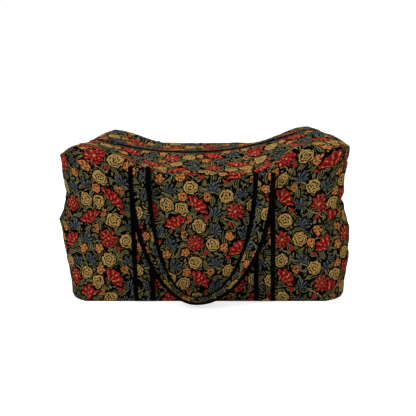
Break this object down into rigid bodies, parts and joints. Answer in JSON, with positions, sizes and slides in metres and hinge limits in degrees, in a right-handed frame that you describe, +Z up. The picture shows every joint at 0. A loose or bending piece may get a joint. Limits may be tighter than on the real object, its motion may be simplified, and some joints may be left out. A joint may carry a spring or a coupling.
{
  "type": "carpet bag",
  "caption": "Soft rectangular holdall of floral tapestry cloth with a sagging zipped top, stiffened base and two hanging strap handles with bound edges.",
  "frame": {"origin": "floor level, under the middle of the whole bag", "axes": "+X along the bag to the viewer's right, -Y towards the viewer in the picture, +Z up"},
  "size_m": [0.5776, 0.3702, 0.3252],
  "materials": {
    "tapestry": "woven, matt",
    "black_webbing": "ribbed, matt",
    "board": "matt",
    "zip_plastic": "satin",
    "zip_metal": "satin black"
  },
  "bodies": {
    "bag": {"front_panel": "tapestry", "back_panel": "tapestry", "left_end_panel": "tapestry", "right_end_panel": "tapestry", "base_panel": "tapestry", "top_front_panel": "tapestry", "top_back_panel": "tapestry", "base_board": "board", "front_strap_band": "tapestry", "front_strap_outer_binding": "black_webbing", "front_strap_inner_binding": "black_webbing", "back_strap_band": "tapestry", "back_strap_outer_binding": "black_webbing", "back_strap_inner_binding": "black_webbing", "front_zip_tape": "black_webbing", "back_zip_tape": "black_webbing", "front_zip_teeth": "zip_plastic", "back_zip_teeth": "zip_plastic", "left_zip_stops": "zip_plastic", "right_zip_stop": "zip_plastic", "left_zip_tab": "tapestry", "right_zip_tab": "tapestry"},
    "slider": {"zip_slider": "zip_metal"},
    "pull": {"zip_pull": "zip_metal"}
  },
  "joints": [
    {"name": "zip_slide", "type": "hinge", "parent": "bag", "child": "slider", "pos_m": [-0.03291, 0, 0.9156], "axis": [0, -1, 0], "range_deg": [0, 33.39], "deforming": ["front_zip_teeth", "back_zip_teeth"]},
    {"name": "pull_swing", "type": "hinge", "parent": "slider", "child": "pull", "pos_m": [-0.1894, 0, 0.30163], "axis": [0, -1, 0], "range_deg": [0, 168]}
  ]
}
